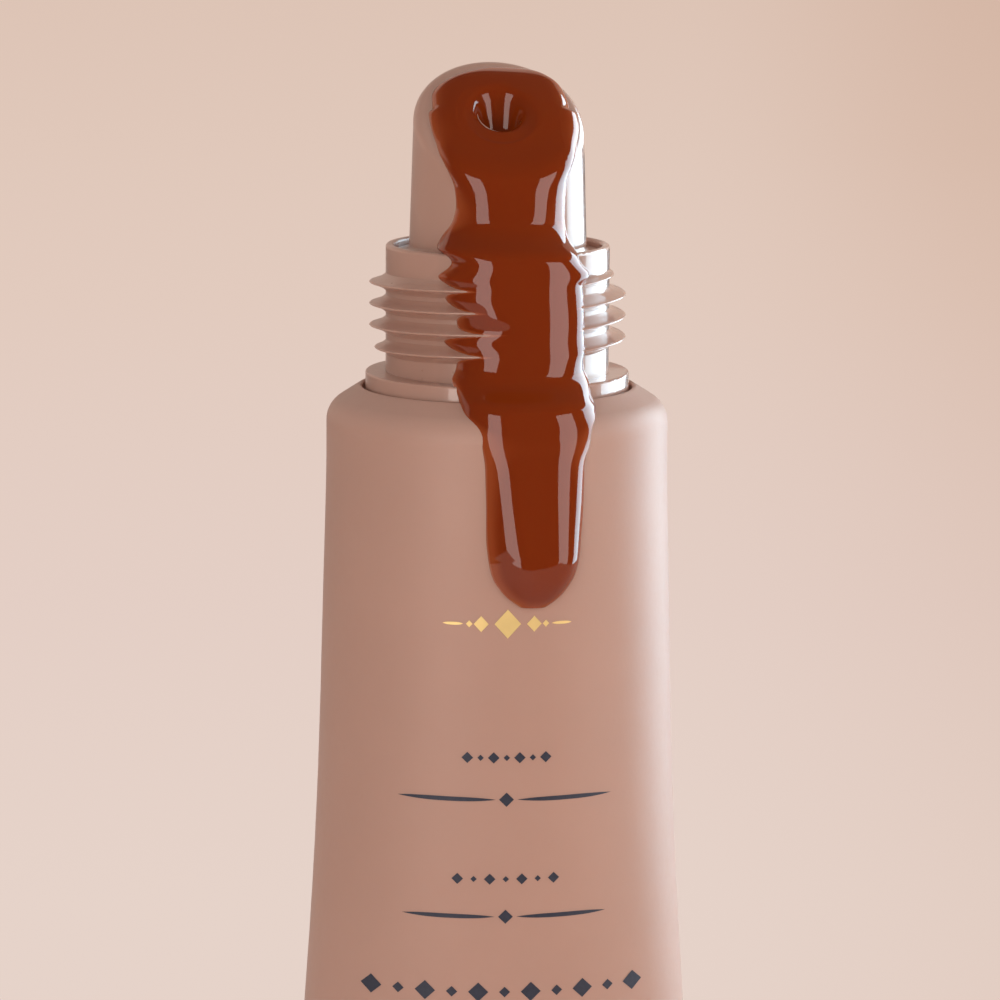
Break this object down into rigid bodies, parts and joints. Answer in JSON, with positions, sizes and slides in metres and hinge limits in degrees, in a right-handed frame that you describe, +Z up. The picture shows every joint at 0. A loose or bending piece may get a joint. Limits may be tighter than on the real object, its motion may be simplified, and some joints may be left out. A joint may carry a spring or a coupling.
{
  "type": "lip gloss tube",
  "caption": "Soft plastic squeeze tube with a flat crimped end, a screw neck and a slanted applicator tip, open, with gloss running down its front.",
  "frame": {"origin": "middle of the crimped end's bottom edge", "axes": "+Z up along the tube towards the applicator, -Y towards the slanted face and the front, X along the wide crimp"},
  "size_m": [0.0298, 0.0203, 0.0875],
  "materials": {
    "sleeve": "satin soft-touch polyethylene, dusty nude pink",
    "head": "moulded polyethylene, satin, same nude pink as the sleeve",
    "applicator": "moulded polyethylene, satin, same nude pink as the sleeve",
    "gloss": "wet translucent brown-red gloss, orange where it is thin"
  },
  "bodies": {
    "root": {"tube_sleeve": "sleeve", "tube_head": "head", "applicator_tip": "applicator", "gloss_fill": "gloss", "gloss_run": "gloss"}
  },
  "joints": []
}
